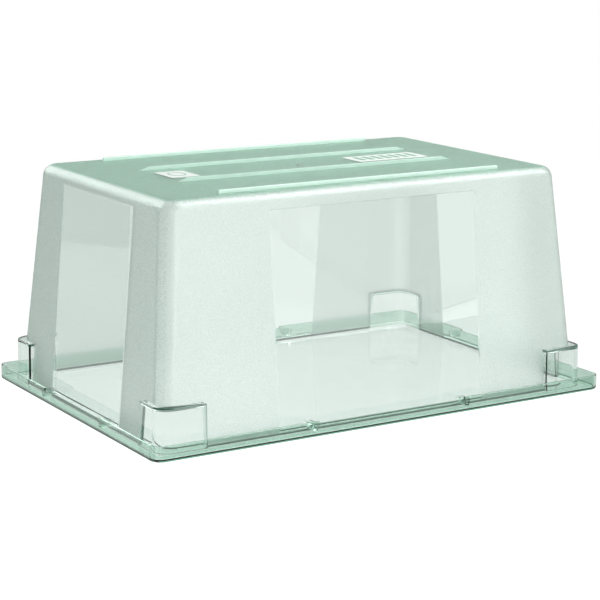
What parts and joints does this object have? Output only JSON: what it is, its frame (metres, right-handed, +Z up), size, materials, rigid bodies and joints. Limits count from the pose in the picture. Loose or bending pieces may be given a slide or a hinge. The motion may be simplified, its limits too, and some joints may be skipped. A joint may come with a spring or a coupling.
{
  "type": "humidity dome tray",
  "caption": "Clear green-tinted rectangular propagation tray with an upturned rim lip and a tall tapered lift-off dome with corner lugs and ribs on top.",
  "frame": {"origin": "centre of the tray's underside, where it stands", "axes": "+X along the long side, +Y across towards the back, +Z up"},
  "size_m": [0.66, 0.457, 0.297],
  "materials": {
    "tray_clear": "clear green-tinted polycarbonate, glossy",
    "dome_clear": "clear green-tinted polycarbonate, finely frosted near the corners and on top, polished in the middle of each wall",
    "label_small_white": "plain pale matte plate, blank",
    "label_large_white": "plain pale matte plate, blank"
  },
  "bodies": {
    "tray": {"base_tray": "tray_clear"},
    "dome": {"dome_shell": "dome_clear", "label_small": "label_small_white", "label_large": "label_large_white"}
  },
  "joints": [
    {"name": "dome_lift", "type": "slide", "parent": "tray", "child": "dome", "axis": [0, 0, 1], "range_m": [0, 0.3]}
  ]
}
